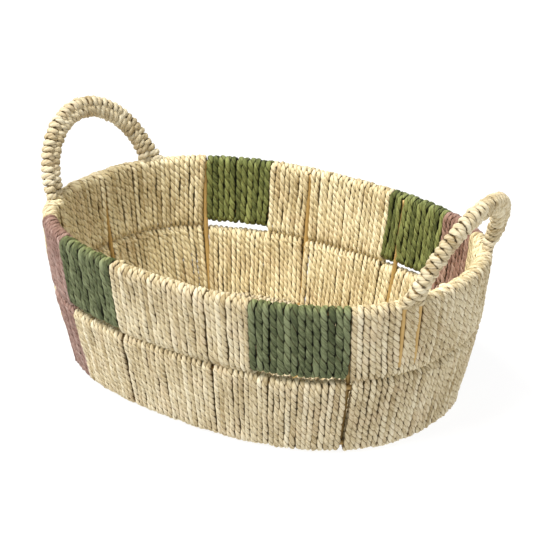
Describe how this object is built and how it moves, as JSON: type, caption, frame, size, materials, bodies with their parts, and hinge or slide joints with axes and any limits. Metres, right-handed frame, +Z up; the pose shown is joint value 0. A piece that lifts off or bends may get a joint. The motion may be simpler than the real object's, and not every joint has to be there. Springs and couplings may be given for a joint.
{
  "type": "bread basket",
  "caption": "Oval bread basket of twisted paper rope wound over a welded wire frame, with colour blocks and a wrapped wire handle at each end.",
  "frame": {"origin": "centre of the basket's footprint, on the surface it stands on", "axes": "+X along the basket towards the right handle, +Y across it towards the back, +Z up"},
  "size_m": [0.3745, 0.2514, 0.1764],
  "materials": {
    "natural_rope": "matte",
    "green_rope": "matte",
    "pink_rope": "matte",
    "frame_wire": "satin"
  },
  "bodies": {
    "root": {"rim_hoop": "frame_wire", "upper_middle_hoop": "frame_wire", "lower_middle_hoop": "frame_wire", "bottom_hoop": "frame_wire", "base_hoop": "frame_wire", "rib_1": "frame_wire", "rib_2": "frame_wire", "rib_3": "frame_wire", "rib_4": "frame_wire", "rib_5": "frame_wire", "rib_6": "frame_wire", "rib_7": "frame_wire", "rib_8": "frame_wire", "rib_9": "frame_wire", "rib_10": "frame_wire", "left_cross_wire": "frame_wire", "right_cross_wire": "frame_wire", "long_base_wire": "frame_wire", "left_handle_outer_wire": "frame_wire", "left_handle_inner_wire": "frame_wire", "left_handle_wrap": "natural_rope", "right_handle_outer_wire": "frame_wire", "right_handle_inner_wire": "frame_wire", "right_handle_wrap": "natural_rope", "natural_weave_1": "natural_rope", "pink_weave_2": "pink_rope", "green_weave_3": "green_rope", "lower_weave_3": "natural_rope", "green_weave_4": "green_rope", "lower_weave_4": "natural_rope", "natural_weave_5": "natural_rope", "natural_weave_6": "natural_rope", "green_weave_7": "green_rope", "lower_weave_7": "natural_rope", "natural_weave_8": "natural_rope", "natural_weave_9": "natural_rope", "natural_weave_10": "natural_rope", "pink_weave_11": "pink_rope", "green_weave_12": "green_rope", "lower_weave_12": "natural_rope", "natural_weave_13": "natural_rope", "natural_weave_14": "natural_rope", "green_weave_15": "green_rope", "lower_weave_15": "natural_rope", "natural_weave_16": "natural_rope", "natural_weave_17": "natural_rope", "left_base_weave": "natural_rope", "middle_base_weave": "natural_rope", "right_base_weave": "natural_rope"}
  },
  "joints": []
}
